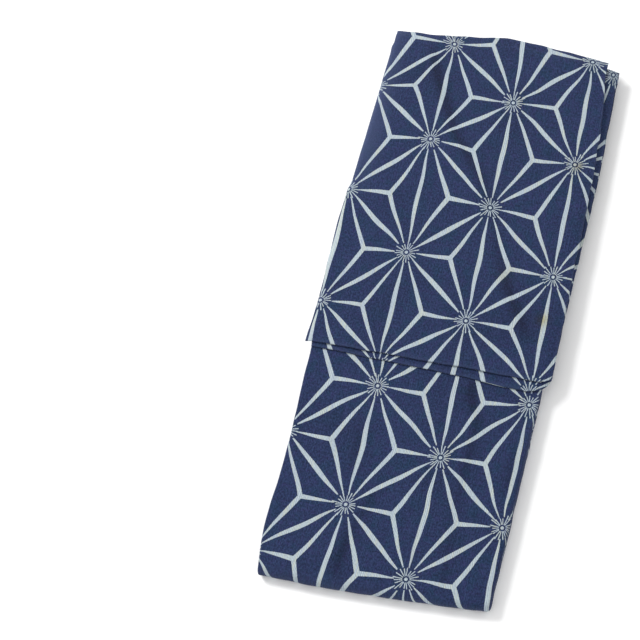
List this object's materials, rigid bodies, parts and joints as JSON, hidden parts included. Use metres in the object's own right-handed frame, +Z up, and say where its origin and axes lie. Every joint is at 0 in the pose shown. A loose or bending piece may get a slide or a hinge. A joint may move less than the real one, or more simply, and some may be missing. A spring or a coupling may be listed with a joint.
{
  "type": "folded cotton yukata robe",
  "caption": "Cotton yukata robe folded lengthwise and across, both sleeves turned over the top, indigo with a pale hemp-leaf pattern.",
  "frame": {"origin": "middle of the folded robe's outline, on the surface that it lies on", "axes": "+Y along the body towards the shoulders, +X towards the centre back fold and the cuffs, +Z up from the surface"},
  "size_m": [0.3342, 0.8092, 0.0271],
  "materials": {
    "indigo_cotton": "plain-weave cotton, matt, with a pale hemp-leaf print"
  },
  "bodies": {
    "root": {"left_back": "indigo_cotton", "right_back": "indigo_cotton", "left_front": "indigo_cotton", "right_front": "indigo_cotton", "left_sleeve": "indigo_cotton", "right_sleeve": "indigo_cotton", "collar": "indigo_cotton"}
  },
  "joints": []
}
